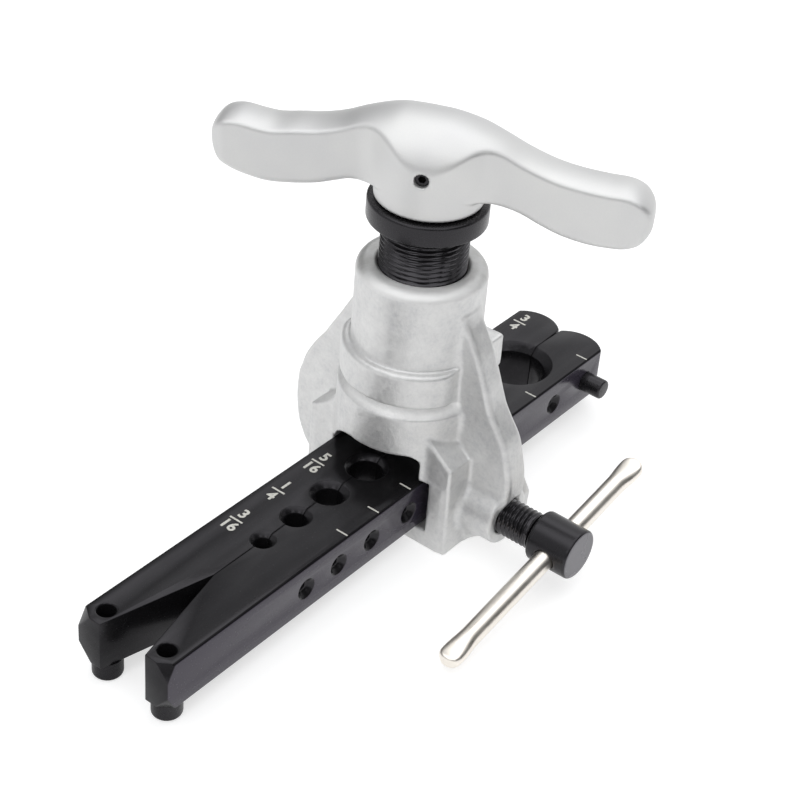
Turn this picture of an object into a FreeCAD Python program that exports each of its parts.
import FreeCAD, Part
import math
import os

# Yoke-type 45 degree flaring tool for copper tube, 3/16 to 3/4 in.
# Frame: mm, +Z up. The feed screw turns on the Z axis, which is also the axis of the
# 1/2 in. die bore, and the die bar's bottom face lies at z = 0. The bar runs along X:
# its near end is at -X, its far end with the 3/4 in. bore at +X. The clamp screw
# points out along -Y, called the front; +Y is the rear.

V = FreeCAD.Vector
ORIGIN = V(0, 0, 0)
ALONG, UP = V(1, 0, 0), V(0, 0, 1)
FRONTWARD, REARWARD = V(0, -1, 0), V(0, 1, 0)

# ---------------------------------------------------------------- shared dimensions
OVER = 1.0                  # how far cutters pass a face, and fused pieces overlap
CLOSE_FIT = 0.02            # close fits, on the radius
RUNNING_FIT = 0.1           # running fits, on the diameter
BALL_FIT = 0.06             # play round the two balls
EDGE_TOL = 0.01             # tolerance for picking edges by their place

BAR_HALF_W, BAR_T = 16.25, 16.0        # closed die bar: half width, thickness
THREAD_D = 25.0                        # feed screw
CLAMP_D, CLAMP_Z = 11.1, 8.0           # clamp screw, and the height of its axis

os.makedirs("parts", exist_ok=True)


# ---------------------------------------------------------------- helpers
def save(name, shape):
    shape.exportStep("parts/" + name + ".step")


def box(x0, x1, y0, y1, z0, z1):
    return Part.makeBox(x1 - x0, y1 - y0, z1 - z0, V(x0, y0, z0))


def cylinder(radius, base, axis, length):
    return Part.makeCylinder(radius, length, V(*base), axis)


def line(start, end):
    return Part.LineSegment(start, end).toShape()


def arc(start, middle, end):
    return Part.Arc(start, middle, end).toShape()


def spline(points):
    curve = Part.BSplineCurve()
    curve.interpolate(points)
    return curve.toShape()


def polygon_face(points):
    corners = [V(*p) for p in points]
    return Part.Face(Part.makePolygon(corners + [corners[0]]))


def hex_socket(across_flats, centre, side_axis, sweep):
    """Hexagonal prism with a corner towards +X; side_axis is its face's other axis."""
    radius = across_flats / math.sqrt(3)
    corners = []
    for i in range(6):
        angle = math.radians(60 * i)
        corners.append(V(*centre) + ALONG * (radius * math.cos(angle))
                       + side_axis * (radius * math.sin(angle)))
    return polygon_face(corners).extrude(sweep)


def pick(shape, wanted):
    return [edge for edge in shape.Edges if wanted(edge)]


def rounded(shape, radius, wanted):
    """Fillet the wanted edges."""
    edges = pick(shape, wanted)
    if not edges:
        return shape
    # guards against a fillet the kernel can't make: the edges then stay sharp
    try:
        out = shape.makeFillet(radius, edges)
        if out.isValid() and len(out.Solids) == len(shape.Solids):
            return out
    except Exception:
        pass
    return shape


def chamfered(shape, size, wanted):
    return shape.makeChamfer(size, pick(shape, wanted))


def one(shape):
    """The same shape with coplanar faces merged, as a single solid."""
    merged = shape.removeSplitter()
    if merged.ShapeType == "Compound" and len(merged.Solids) == 1:
        merged = merged.Solids[0]
    return merged


# ---------------------------------------------------------------- die bar
BAR_X0 = -117.3             # near end
SPLIT_GAP = 0.05            # half of the gap left at the parting plane
BAR_EDGE_CH = 0.4           # broken long edges
MOUTH_APEX_X = -83.0        # where the V-shaped mouth closes
MOUTH_HALF_W = 8.13         # half width of the mouth at the near end
CORNER_CUT = (3.1, 4.45, 5.4)          # struck off the near end's outer corners, in X, Y, Z
LOBE_R = 10.5               # radius of the two round lobes at the far end
LOBE_X, LOBE_Y = 72.4, 8.2  # their centres, which are the hinge pins' axes
RELIEF_X, RELIEF_DEG = 70.0, 1.6       # parting face is relieved from here to the far end
# tube bores: x, tube outside diameter, flare diameter
SIXTEENTH = 25.4 / 16
BORES = [(-63.3, 3 * SIXTEENTH, 7.4), (-49.6, 4 * SIXTEENTH, 9.2), (-35.2, 5 * SIXTEENTH, 11.3),
         (-18.5, 6 * SIXTEENTH, 13.0), (0.0, 8 * SIXTEENTH, 16.5), (26.6, 10 * SIXTEENTH, 19.7),
         (54.3, 12 * SIXTEENTH, 24.0)]
SEAT_START = 0.5            # flare seats start this far inside the bore's radius
DIMPLE_D, DIMPLE_DEPTH = 6.8, 1.8      # seats for the clamp screw's ball
DIMPLE_HOLE_D, DIMPLE_HOLE_DEPTH = 2.6, 3.6
# screws that stop the yoke at the near end and carry the bar's near end
STOP_X, STOP_Y = -112.0, 10.9
STOP_D, STOP_HEAD_D, STOP_HEAD_H, STOP_HEAD_ROUND = 5.0, 8.6, 6.0, 1.2
STOP_SOCKET_AF, STOP_SOCKET_H = 4.0, 2.6
STOP_REACH = 9.5            # height of the screw's end in the bar
STOP_SINK, STOP_SINK_DEPTH = 1.2, 0.5  # countersink cone's height, depth below the top face
# stop pin in the front side at the far end
SIDE_PIN_X, SIDE_PIN_D, SIDE_PIN_ROUND = 71.6, 6.3, 0.7
SIDE_PIN_OUT, SIDE_PIN_IN, SIDE_PIN_HOLE = 7.2, 3.15, 3.2
# hinge link and its pins, in the far end's bottom face
LINK_W, LINK_T, LINK_Z = 11.0, 3.0, 0.1
LINK_POCKET, LINK_CLEAR = 3.4, 0.4     # pocket depth, clearance round the link
PIN_D, PIN_L, PIN_HOLE_L, PIN_ROUND = 6.0, 12.0, 12.3, 0.4
# alignment pin near the mouth, snug in the rear half and loose in the front half
DOWEL_X, DOWEL_D, DOWEL_L, DOWEL_ROUND = -74.5, 4.0, 9.0, 0.8
DOWEL_Y = 5.0               # rear end of the pin
DOWEL_HOLE_REAR, DOWEL_HOLE_FRONT, DOWEL_LOOSE = 5.05, 4.6, 0.35


def die_blank():
    """Rear half of the bar without its holes."""
    w, gap = BAR_HALF_W, SPLIT_GAP
    lobe_reach = math.sqrt(LOBE_R ** 2 - (w - LOBE_Y) ** 2)
    cusp_x = LOBE_X + math.sqrt(LOBE_R ** 2 - LOBE_Y ** 2)
    relief_y = gap + (cusp_x - RELIEF_X) * math.tan(math.radians(RELIEF_DEG))
    relief_end = V(LOBE_X + math.sqrt(LOBE_R ** 2 - (LOBE_Y - relief_y) ** 2), relief_y, 0)
    relief_start = V(RELIEF_X, gap, 0)
    mouth_apex = V(MOUTH_APEX_X, gap, 0)
    mouth_end = V(BAR_X0, MOUTH_HALF_W, 0)
    near_corner = V(BAR_X0, w, 0)
    lobe_start = V(LOBE_X + lobe_reach, w, 0)
    on_lobe = V(LOBE_X + LOBE_R * math.cos(0.12), LOBE_Y + LOBE_R * math.sin(0.12), 0)
    outline = Part.Wire([line(relief_end, relief_start),
                         line(relief_start, mouth_apex),
                         line(mouth_apex, mouth_end),
                         line(mouth_end, near_corner),
                         line(near_corner, lobe_start),
                         arc(lobe_start, on_lobe, relief_end)])
    body = Part.Face(outline).extrude(V(0, 0, BAR_T))

    def outer_long_edge(edge):
        b = edge.BoundBox
        return (b.XLength > 60 and b.YLength < EDGE_TOL
                and abs(b.YMin - w) < EDGE_TOL and b.ZLength < EDGE_TOL)

    # guards against a chamfer the kernel can't make: the edges then stay sharp
    try:
        broken = chamfered(body, BAR_EDGE_CH, outer_long_edge)
        if broken.isValid():
            body = broken
    except Exception:
        pass
    # the near end's outer corners are struck off below and above
    dx, dy, dz = CORNER_CUT
    for z, s in ((0.0, -1), (BAR_T, 1)):
        corner = Part.makeBox(16, 16, 10, V(-8, -8, 0))
        corner.Placement = FreeCAD.Placement(
            V(BAR_X0 + dx / 3, w - dy / 3, z - s * dz / 3),
            FreeCAD.Rotation(UP, V(-1 / dx, 1 / dy, s / dz)))
        body = body.cut(corner)
    return body


def die_half(is_front):
    """One half of the bar, cut as the rear half; the front one is mirrored at the end."""
    w, mid_z = BAR_HALF_W, BAR_T / 2
    body = die_blank()
    # tube bores with 45 degree flare seats
    for x, tube_d, flare_d in BORES:
        body = body.cut(cylinder(tube_d / 2, (x, 0, -OVER), UP, BAR_T + 2 * OVER))
        seat_r0, seat_r1 = tube_d / 2 - SEAT_START, flare_d / 2 + OVER
        body = body.cut(Part.makeCone(seat_r0, seat_r1, seat_r1 - seat_r0,
                                      V(x, 0, BAR_T - flare_d / 2 + seat_r0), UP))
    # stop screw's hole, countersunk in the top face
    body = body.cut(cylinder(STOP_D / 2 + CLOSE_FIT, (STOP_X, STOP_Y, -OVER), UP,
                             BAR_T + 2 * OVER))
    body = body.cut(Part.makeCone(STOP_D / 2, STOP_D / 2 + STOP_SINK, STOP_SINK,
                                  V(STOP_X, STOP_Y, BAR_T - STOP_SINK_DEPTH), UP))
    # pocket for the hinge link, and the pin's hole
    pocket_r = LINK_W / 2 + LINK_CLEAR
    hinge = (LOBE_X, LOBE_Y, 0)
    body = body.cut(cylinder(pocket_r, hinge, UP, LINK_POCKET))
    body = body.cut(box(LOBE_X - pocket_r, LOBE_X + pocket_r, -OVER, LOBE_Y,
                        -0.001, LINK_POCKET))
    body = body.cut(cylinder((PIN_D + RUNNING_FIT) / 2, hinge, UP, PIN_HOLE_L))
    # alignment pin's hole
    play = DOWEL_LOOSE if is_front else CLOSE_FIT
    depth = DOWEL_HOLE_FRONT if is_front else DOWEL_HOLE_REAR
    body = body.cut(cylinder(DOWEL_D / 2 + play, (DOWEL_X, -OVER, mid_z), REARWARD,
                             OVER + depth))
    if is_front:
        for x, _, _ in BORES:
            body = body.cut(Part.makeCone(DIMPLE_D / 2, DIMPLE_D / 2 - DIMPLE_DEPTH,
                                          DIMPLE_DEPTH, V(x, w, mid_z), FRONTWARD))
            body = body.cut(cylinder(DIMPLE_HOLE_D / 2, (x, w + OVER, mid_z), FRONTWARD,
                                     OVER + DIMPLE_HOLE_DEPTH))
        body = body.cut(cylinder(SIDE_PIN_D / 2, (SIDE_PIN_X, w + OVER, mid_z), FRONTWARD,
                                 OVER + SIDE_PIN_HOLE))
        body = body.mirror(ORIGIN, REARWARD)
    return one(body)


def stop_screw(y):
    screw = cylinder(STOP_D / 2, (STOP_X, y, -OVER), UP, OVER + STOP_REACH)
    head = cylinder(STOP_HEAD_D / 2, (STOP_X, y, -STOP_HEAD_H), UP, STOP_HEAD_H)
    head = rounded(head, STOP_HEAD_ROUND, lambda e: e.BoundBox.ZMax < -STOP_HEAD_H + EDGE_TOL)
    socket = hex_socket(STOP_SOCKET_AF, (STOP_X, y, -STOP_HEAD_H - 0.01), REARWARD,
                        V(0, 0, STOP_SOCKET_H))
    return one(screw.fuse(head).cut(socket))


def side_stop_pin():
    pin = cylinder(SIDE_PIN_D / 2, (SIDE_PIN_X, -BAR_HALF_W + SIDE_PIN_IN, BAR_T / 2),
                   FRONTWARD, SIDE_PIN_IN + SIDE_PIN_OUT)
    end_y = -BAR_HALF_W - SIDE_PIN_OUT
    return rounded(pin, SIDE_PIN_ROUND, lambda e: e.BoundBox.YMax < end_y + EDGE_TOL)


def hinge_link():
    radius = LINK_W / 2
    link = cylinder(radius, (LOBE_X, LOBE_Y, LINK_Z), UP, LINK_T)
    link = link.fuse(cylinder(radius, (LOBE_X, -LOBE_Y, LINK_Z), UP, LINK_T))
    link = link.fuse(box(LOBE_X - radius, LOBE_X + radius, -LOBE_Y, LOBE_Y,
                         LINK_Z, LINK_Z + LINK_T))
    for side in (-1, 1):
        link = link.cut(cylinder(PIN_D / 2 + CLOSE_FIT, (LOBE_X, side * LOBE_Y, 0), UP, 5))
    return one(link)


def hinge_pin(y):
    pin = cylinder(PIN_D / 2, (LOBE_X, y, LINK_Z), UP, PIN_L)
    return rounded(pin, PIN_ROUND, lambda e: abs(e.BoundBox.ZMin - LINK_Z - PIN_L) < EDGE_TOL)


def alignment_pin():
    pin = cylinder(DOWEL_D / 2, (DOWEL_X, DOWEL_Y, BAR_T / 2), FRONTWARD, DOWEL_L)
    return rounded(pin, DOWEL_ROUND, lambda e: e.BoundBox.YMax < DOWEL_Y - DOWEL_L + EDGE_TOL)


for place, side in (("front", -1), ("rear", 1)):
    save("die_half_" + place, die_half(side < 0))
    save("stop_screw_" + place, stop_screw(side * STOP_Y))
    save("hinge_pin_" + place, hinge_pin(side * LOBE_Y))
save("side_stop_pin", side_stop_pin())
save("hinge_link", hinge_link())
save("alignment_pin", alignment_pin())

# ---------------------------------------------------------------- yoke
NECK_R, NECK_Z0, NECK_TOP, NECK_ROUND = 18.6, 20.0, 78.0, 1.5
HOOD_R, HOOD_Z0, HOOD_TOP = 21.6, 17.2, 36.5
SLOPE_H, SLOPE_INSET = 5.4, 0.2        # cone from the hood to just inside the neck
BAND_R, BAND_Z0, BAND_Z1, BAND_CH = 21.3, 42.2, 52.2, 0.8
BAND_HALF_W = 19.2           # half width of the raised band, on the side towards -X
PAD_X, PAD_HALF_W, PAD_ROUND = 18.4, 17.8, 1.0         # flat pad on the side towards +X
WEB_T, WEB_EDGE = 8.6, 1.7             # bell-shaped web, and its rounded edge
BASE_Z = -6.0
POST_X0, POST_X1, POST_TOP = 3.0, 14.0, 33.4
# post outline: distance from the XZ plane, z
POST_OUTLINE = [(26.3, BASE_Z), (26.0, 24.6), (15.6, 33.0), (11.0, POST_TOP), (11.0, BASE_Z)]
POST_CORNER_ROUND, POST_EDGE_ROUND = 1.4, 1.0
BLOCK_HALF_W, BLOCK_TOP = 24.0, 17.4
ARCH_HALF_W, ARCH_Z0 = 15.8, 17.0
BOSS_R, BOSS_START, BOSS_END, BOSS_ROUND = 8.9, -18.0, -38.0, 0.8
EAR_X, EAR_T, EAR_ROUND = 3.0, 10.5, 2.0
# ear outline: y, z
EAR_OUTLINE = [(-24.0, BASE_Z), (-30.0, BASE_Z), (-36.2, 1.0), (-36.6, 9.0), (-34.0, 13.4),
               (-24.0, 20.0)]
SLOT_Y_FRONT, SLOT_Y_REAR = 19.1, 16.33
SLOT_Z0, SLOT_Z1 = -0.08, 17.0
CUT_X = 40.0                 # the through cuts run from -CUT_X to CUT_X
CAVITY_Y, CAVITY_Z0, CAVITY_TOP = 15.6, 16.0, 25.8
CAVITY_R_FRONT, CAVITY_R_REAR = 3.5, 12.6    # its upper corners
LIP_Y = 11.2                 # half width of the opening between the bottom lips
BORE_SINK, BORE_SINK_DEPTH = 1.2, 1.1  # countersink of the feed screw's bore
# the web's sides, from the base up: distance from the XZ plane, z
REAR_SIDE = [
    (30.6, BASE_Z), (34.0, -2.6), (36.2, 0.4), (38.4, 5.2), (39.5, 10.7), (39.8, 16.5),
    (39.4, 22.6), (38.4, 26.0), (37.4, 29.4), (35.7, 33.1), (33.2, 37.2), (30.4, 41.3),
    (27.7, 46.1), (24.9, 51.0), (22.0, 56.4), (18.4, 62.5)]
FRONT_SIDE = [
    (26.0, BASE_Z), (30.9, -1.5), (35.0, 2.5), (38.0, 8.5), (39.6, 14.5), (39.9, 22.5),
    (38.1, 30.3), (36.5, 34.9), (33.8, 38.8), (30.7, 43.6), (27.6, 51.5), (24.6, 58.6),
    (21.2, 64.5), (18.4, 69.0)]


def web_outline(x, inset):
    """The web's outline in the plane at this x, drawn in by inset at its sides."""
    rear = [V(x, y - inset, z) for y, z in REAR_SIDE]
    front = [V(x, inset - y, z) for y, z in FRONT_SIDE]
    edges = [spline(rear), line(rear[-1], front[-1]), spline(front), line(front[0], rear[0])]
    return Part.Wire(Part.sortEdges(edges)[0])


def web():
    flat_x, outer_x = WEB_T / 2 - WEB_EDGE, WEB_T / 2
    body = Part.Face(web_outline(-flat_x, 0)).extrude(V(2 * flat_x, 0, 0))
    for s in (-1, 1):
        sections = [web_outline(s * flat_x, 0),
                    web_outline(s * (flat_x + 0.55 * WEB_EDGE), 0.18 * WEB_EDGE),
                    web_outline(s * outer_x, 0.8 * WEB_EDGE)]
        body = body.fuse(Part.makeLoft(sections, True, True))
    return body


def neck_pieces():
    neck = cylinder(NECK_R, (0, 0, NECK_Z0), UP, NECK_TOP - NECK_Z0)
    neck = neck.makeFillet(NECK_ROUND,
                           pick(neck, lambda e: abs(e.BoundBox.ZMin - NECK_TOP) < EDGE_TOL))
    hood = cylinder(HOOD_R, (0, 0, HOOD_Z0), UP, HOOD_TOP - HOOD_Z0)
    slope = Part.makeCone(HOOD_R, NECK_R - SLOPE_INSET, SLOPE_H, V(0, 0, HOOD_TOP), UP)
    return [neck, hood, slope]


def band_and_pad():
    band = cylinder(BAND_R, (0, 0, BAND_Z0), UP, BAND_Z1 - BAND_Z0)
    band = band.fuse(Part.makeCone(BAND_R, BAND_R - BAND_CH, BAND_CH, V(0, 0, BAND_Z1), UP))
    band = band.common(box(-BAND_R - OVER, 0, -BAND_HALF_W, BAND_HALF_W, 38, 58))
    pad = box(0, PAD_X, -PAD_HALF_W, PAD_HALF_W, BAND_Z0, BAND_Z1 + BAND_CH)
    pad = rounded(pad, PAD_ROUND, lambda e: e.BoundBox.XMin > PAD_X - EDGE_TOL)
    return [band, pad]


def post(side_x, side_y):
    width = POST_X1 - POST_X0
    face = polygon_face([(side_x * POST_X0, side_y * y, z) for y, z in POST_OUTLINE])
    body = face.extrude(V(side_x * width, 0, 0))
    body = rounded(body, POST_CORNER_ROUND,
                   lambda e: abs(e.BoundBox.XLength - width) < EDGE_TOL
                   and abs(e.CenterOfMass.y) > 20)
    # edges of the face turned away from the web, except along the base and the inner side
    return rounded(body, POST_EDGE_ROUND,
                   lambda e: e.BoundBox.XLength < EDGE_TOL
                   and abs(e.CenterOfMass.x) > POST_X1 - 0.1
                   and abs(e.CenterOfMass.y) > 12 and e.CenterOfMass.z > BASE_Z + 1)


def posts():
    body = post(-1, -1)
    for side_x, side_y in ((-1, 1), (1, -1), (1, 1)):
        body = body.fuse(post(side_x, side_y))
    return body


def clamp_boss():
    boss = cylinder(BOSS_R, (0, BOSS_START, CLAMP_Z), FRONTWARD, BOSS_START - BOSS_END)
    return rounded(boss, BOSS_ROUND, lambda e: e.BoundBox.YMax < BOSS_END + EDGE_TOL)


def ear():
    """The ear beside the boss, on the side towards +X."""
    body = polygon_face([(EAR_X, y, z) for y, z in EAR_OUTLINE]).extrude(V(EAR_T, 0, 0))
    return rounded(body, EAR_ROUND, lambda e: abs(e.BoundBox.XLength - EAR_T) < EDGE_TOL
                   and e.CenterOfMass.y < -30)


def cavity():
    """The hollow over the window, with a small front and a large rear upper corner."""
    def at(y, z):
        return V(-CUT_X, y, z)

    front, top, bottom = -CAVITY_Y, CAVITY_TOP, CAVITY_Z0
    r_front, r_rear = CAVITY_R_FRONT, CAVITY_R_REAR
    centre_y, centre_z = CAVITY_Y - r_rear, top - r_rear
    rear = centre_y + math.sqrt(r_rear ** 2 - (bottom - centre_z) ** 2)
    h = math.sqrt(0.5)
    outline = [line(at(front, bottom), at(front, top - r_front)),
               arc(at(front, top - r_front),
                   at(front + r_front - r_front * h, top - r_front + r_front * h),
                   at(front + r_front, top)),
               line(at(front + r_front, top), at(centre_y, top)),
               arc(at(centre_y, top),
                   at(centre_y + r_rear * 0.5, centre_z + r_rear * math.sqrt(0.75)),
                   at(rear, bottom)),
               line(at(rear, bottom), at(front, bottom))]
    return Part.Face(Part.Wire(outline)).extrude(V(2 * CUT_X, 0, 0))


def yoke():
    block = box(-POST_X1, POST_X1, -BLOCK_HALF_W, BLOCK_HALF_W, BASE_Z, BLOCK_TOP)
    arch = box(-POST_X1, POST_X1, -ARCH_HALF_W, ARCH_HALF_W, ARCH_Z0, POST_TOP)
    body = web()
    for piece in neck_pieces() + [posts(), block, arch, clamp_boss(), ear()] + band_and_pad():
        body = body.fuse(piece)
    # the window that the die bar slides through, the cavity over it, the opening below
    window = box(-CUT_X, CUT_X, -SLOT_Y_FRONT, SLOT_Y_REAR, SLOT_Z0, SLOT_Z1)
    opening = box(-CUT_X, CUT_X, -LIP_Y, LIP_Y, BASE_Z - OVER, SLOT_Z0 + OVER)
    for cutter in (window, cavity(), opening):
        body = body.cut(cutter)
    body = body.cut(cylinder((THREAD_D + RUNNING_FIT) / 2, (0, 0, 10), UP, 80))
    body = body.cut(Part.makeCone(THREAD_D / 2 - 0.2, THREAD_D / 2 + BORE_SINK, BORE_SINK + 0.2,
                                  V(0, 0, NECK_TOP - BORE_SINK_DEPTH), UP))
    body = body.cut(cylinder((CLAMP_D + RUNNING_FIT) / 2, (0, -15, CLAMP_Z), FRONTWARD, 30))
    return one(body)


save("yoke", yoke())

# ---------------------------------------------------------------- clamp screw
CLAMP_HEAD_D, CLAMP_HEAD_Y0, CLAMP_HEAD_Y1 = 15.2, -49.5, -63.2
CLAMP_TIP_Y, CLAMP_CH = -21.0, 0.8     # end face of the screw, and its chamfers
BALL_D, BALL_TIP_Y = 6.5, -18.2
BALL_Y = BALL_TIP_Y - BALL_D / 2
TOMMY_D, TOMMY_Y, TOMMY_DEG = 6.0, -56.0, 10.7
TOMMY_X0, TOMMY_X1 = -52.5, 39.5       # its two ends, along its own axis
TOMMY_FLAT_L, TOMMY_FLAT_W, TOMMY_FLAT_T = 9.0, 7.4, 4.4
TOMMY_FLAT_ROUND, TOMMY_CH = 1.9, 0.5


def clamp_screw():
    screw = cylinder(CLAMP_D / 2, (0, CLAMP_TIP_Y, CLAMP_Z), FRONTWARD,
                     CLAMP_TIP_Y - CLAMP_HEAD_Y0)
    screw = chamfered(screw, CLAMP_CH, lambda e: e.BoundBox.YMin > CLAMP_TIP_Y - EDGE_TOL)
    head = cylinder(CLAMP_HEAD_D / 2, (0, CLAMP_HEAD_Y0, CLAMP_Z), FRONTWARD,
                    CLAMP_HEAD_Y0 - CLAMP_HEAD_Y1)
    head = chamfered(head, CLAMP_CH, lambda e: e.BoundBox.YLength < EDGE_TOL)
    screw = screw.fuse(head)
    # ball's socket
    socket_r = BALL_D / 2 + BALL_FIT
    screw = screw.cut(cylinder(socket_r, (0, CLAMP_TIP_Y + OVER, CLAMP_Z), FRONTWARD,
                               OVER + CLAMP_TIP_Y - BALL_Y))
    screw = screw.cut(Part.makeSphere(socket_r, V(0, BALL_Y, CLAMP_Z)))
    # tommy bar's hole
    tilt = math.radians(TOMMY_DEG)
    axis = V(math.cos(tilt), 0, math.sin(tilt))
    start = V(0, TOMMY_Y, CLAMP_Z) - axis * 20
    return one(screw.cut(cylinder((TOMMY_D + RUNNING_FIT) / 2, start, axis, 40)))


def tommy_bar():
    """Built along X, then tilted about the clamp screw's axis."""
    flat_l, half_w, half_t = TOMMY_FLAT_L, TOMMY_FLAT_W / 2, TOMMY_FLAT_T / 2
    bar = cylinder(TOMMY_D / 2, (TOMMY_X0, 0, 0), ALONG, TOMMY_X1 - TOMMY_X0)
    bar = chamfered(bar, TOMMY_CH, lambda e: e.BoundBox.XLength < EDGE_TOL)
    # flattened ends: flat's start, and the range of the bar it replaces
    for x, cut_x0, cut_x1 in ((TOMMY_X0, TOMMY_X0 - OVER, TOMMY_X0 + flat_l),
                              (TOMMY_X1 - flat_l, TOMMY_X1 - flat_l, TOMMY_X1 + OVER)):
        flat = box(x, x + flat_l, -half_w, half_w, -half_t, half_t)
        flat = flat.makeFillet(TOMMY_FLAT_ROUND,
                               pick(flat, lambda e: e.BoundBox.XLength > flat_l - 0.1))
        flat = chamfered(flat, TOMMY_CH, lambda e: e.BoundBox.XLength < EDGE_TOL)
        bar = bar.cut(box(cut_x0, cut_x1, -5, 5, -5, 5)).fuse(flat)
    bar = one(bar)
    bar.rotate(ORIGIN, REARWARD, -TOMMY_DEG)
    bar.translate(V(0, TOMMY_Y, CLAMP_Z))
    return bar


save("clamp_screw", clamp_screw())
save("clamp_ball", Part.makeSphere(BALL_D / 2, V(0, BALL_Y, CLAMP_Z)))
save("tommy_bar", tommy_bar())

# ---------------------------------------------------------------- feed screw and cone
CONE_TIP_Z, CONE_R, CONE_NOSE_R = 18.9, 11.5, 0.6
CONE_RIM, CONE_RIM_CH = 3.0, 0.5
STEM_D, STEM_TOP, STEM_CH = 9.0, 50.0, 0.6
GROOVE_Z0, GROOVE_Z1, GROOVE_D = 40.6, 44.2, 6.0
# the retaining pin crosses the feed screw beside the stem's groove
RETAINER_D, RETAINER_L = 3.0, 22.0
RETAINER_Y = GROOVE_D / 2 + RETAINER_D / 2 + 0.1
RETAINER_Z = (GROOVE_Z0 + GROOVE_Z1) / 2
THRUST_BALL_D = 8.0
SCREW_BOTTOM, SHOULDER_Z, SCREW_CH = 34.0, 92.4, 1.0
COLLAR_R, COLLAR_T, COLLAR_CH = 16.9, 6.2, 0.9
SPIGOT_D, SPIGOT_TOP = 18.0, 113.0
# grub screw, and the flat on the spigot that it bears on, at GRUB_FLAT from the Z axis
GRUB_Z, GRUB_D, GRUB_L, GRUB_FLAT = 111.5, 4.0, 6.6, 7.6
GRUB_SOCKET_AF = 2.0
HANDLE_DEG = math.degrees(math.atan2(-0.894, 0.448))   # the handle's long axis, from +X


def feed_screw():
    screw = cylinder(THREAD_D / 2, (0, 0, SCREW_BOTTOM), UP, SHOULDER_Z - SCREW_BOTTOM)
    screw = chamfered(screw, SCREW_CH, lambda e: e.BoundBox.ZMax < SCREW_BOTTOM + EDGE_TOL)
    screw = screw.fuse(cylinder(SPIGOT_D / 2, (0, 0, SHOULDER_Z - OVER), UP,
                                SPIGOT_TOP - SHOULDER_Z + OVER))
    bore_top = STEM_TOP + THRUST_BALL_D + BALL_FIT
    screw = screw.cut(cylinder((STEM_D + RUNNING_FIT) / 2, (0, 0, SCREW_BOTTOM - OVER), UP,
                               bore_top - SCREW_BOTTOM + OVER))
    screw = screw.cut(cylinder(RETAINER_D / 2 + 0.01, (-20, RETAINER_Y, RETAINER_Z), ALONG, 40))
    flat = box(-4, 4, -GRUB_FLAT - 3, -GRUB_FLAT, GRUB_Z - 4, GRUB_Z + 4)
    flat.rotate(ORIGIN, UP, HANDLE_DEG)
    return one(screw.cut(flat))


def flaring_cone():
    """45 degree cone and its grooved stem, turned from a profile of radius, z."""
    base_z = CONE_TIP_Z + CONE_R - CONE_NOSE_R
    rim_z = base_z + CONE_RIM
    stem_r, groove_r = STEM_D / 2, GROOVE_D / 2
    profile = [(0, CONE_TIP_Z), (CONE_NOSE_R, CONE_TIP_Z), (CONE_R, base_z),
               (CONE_R, rim_z - CONE_RIM_CH), (CONE_R - CONE_RIM_CH, rim_z), (stem_r, rim_z),
               (stem_r, GROOVE_Z0), (groove_r, GROOVE_Z0), (groove_r, GROOVE_Z1),
               (stem_r, GROOVE_Z1), (stem_r, STEM_TOP - STEM_CH), (stem_r - STEM_CH, STEM_TOP),
               (0, STEM_TOP)]
    return polygon_face([(r, 0, z) for r, z in profile]).revolve(ORIGIN, UP, 360)


def feed_collar():
    collar = cylinder(COLLAR_R, (0, 0, SHOULDER_Z + 0.02), UP, COLLAR_T)
    collar = collar.cut(cylinder(SPIGOT_D / 2 + CLOSE_FIT, (0, 0, SHOULDER_Z - OVER), UP,
                                 COLLAR_T + 3))
    return chamfered(collar, COLLAR_CH, lambda e: e.BoundBox.XLength > 2 * COLLAR_R - 0.1)


save("feed_screw", feed_screw())
save("cone_retaining_pin",
     cylinder(RETAINER_D / 2, (-RETAINER_L / 2, RETAINER_Y, RETAINER_Z), ALONG, RETAINER_L))
save("flaring_cone", flaring_cone())
save("thrust_ball",
     Part.makeSphere(THRUST_BALL_D / 2, V(0, 0, STEM_TOP + THRUST_BALL_D / 2 + 0.01)))
save("feed_collar", feed_collar())

# ---------------------------------------------------------------- handle
WING_T, WING_ROUND = 13.2, 3.0
HUB_Z0, HUB_R0 = 99.2, 15.2
DOME_TOP = 124.2
# dome profile from the hub's crease to the top: radius, z
DOME = [(15.8, 114.6), (15.0, 117.4), (12.6, 120.4), (8.8, 122.7), (4.4, 123.8), (0, DOME_TOP)]
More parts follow.
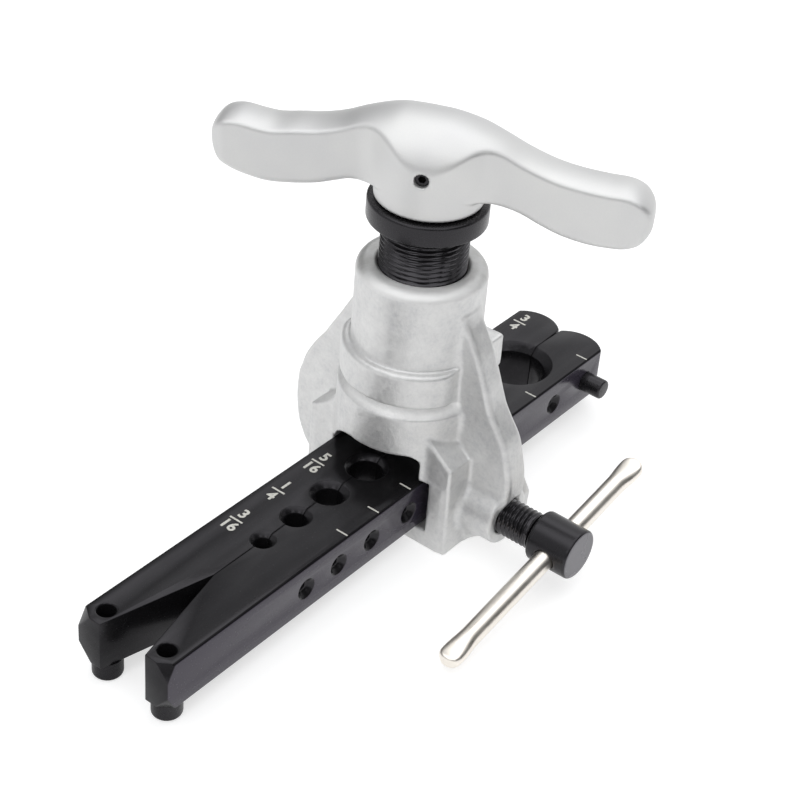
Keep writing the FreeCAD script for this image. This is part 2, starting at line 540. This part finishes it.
# closed outline of the wings, over the top and back below: along the handle, z
WING_TOP = [
    (-60.6, 107.2), (-59.4, 110.6), (-56.8, 113.2), (-52.5, 114.8), (-47.5, 114.6),
    (-42.6, 114.4), (-35.6, 115.4), (-28.8, 116.6), (-22.9, 118.4), (-16.0, 120.9),
    (-8.0, 122.6), (0.0, 122.9), (8.0, 122.2), (14.0, 120.6), (19.7, 118.7), (26.2, 115.8),
    (33.7, 113.5), (41.1, 112.3), (48.3, 111.9), (52.5, 111.9), (56.8, 110.6), (59.8, 108.0),
    (61.2, 104.8)]
WING_BOTTOM = [
    (60.6, 101.4), (58.3, 98.2), (55.3, 96.1), (51.7, 95.2), (44.5, 95.3), (37.1, 96.6),
    (31.0, 98.8), (26.0, 101.0), (21.0, 102.2), (14.0, 102.6), (0.0, 102.8), (-14.0, 102.8),
    (-20.5, 103.0), (-24.3, 102.0), (-30.1, 100.0), (-37.0, 98.6), (-43.9, 98.1),
    (-50.4, 98.9), (-55.0, 100.8), (-58.6, 103.7)]


def wings():
    curve = Part.BSplineCurve()
    curve.interpolate([V(x, -WING_T / 2, z) for x, z in WING_TOP + WING_BOTTOM],
                      PeriodicFlag=True)
    body = Part.Face(Part.Wire(curve.toShape())).extrude(V(0, WING_T, 0))
    return rounded(body, WING_ROUND, lambda e: e.BoundBox.YLength < EDGE_TOL)


def hub():
    dome = [V(r, 0, z) for r, z in DOME]
    centre, rim = V(0, 0, HUB_Z0), V(HUB_R0, 0, HUB_Z0)
    profile = Part.Wire([line(centre, rim), line(rim, dome[0]), spline(dome),
                         line(dome[-1], centre)])
    return Part.Face(profile).revolve(ORIGIN, UP, 360)


def handle():
    """Built along X, then turned to its direction."""
    body = wings().fuse(hub())
    body = body.cut(cylinder(SPIGOT_D / 2 + CLOSE_FIT, (0, 0, HUB_Z0 - 5), UP,
                             SPIGOT_TOP + 0.4 - HUB_Z0 + 5))
    body = body.cut(cylinder(GRUB_D / 2 + CLOSE_FIT, (0, 0, GRUB_Z), FRONTWARD, 30))
    body = one(body)
    body.rotate(ORIGIN, UP, HANDLE_DEG)
    return body


def grub_screw():
    """Built along -Y, then turned with the handle, to the side that faces -X."""
    grub = cylinder(GRUB_D / 2, (0, -(GRUB_FLAT + 0.03), GRUB_Z), FRONTWARD, GRUB_L)
    grub = grub.cut(hex_socket(GRUB_SOCKET_AF, (0, -(GRUB_FLAT + GRUB_L + 0.1), GRUB_Z), UP,
                               V(0, 2.5, 0)))
    grub.rotate(ORIGIN, UP, HANDLE_DEG)
    return grub


save("handle", handle())
save("handle_grub_screw", grub_screw())
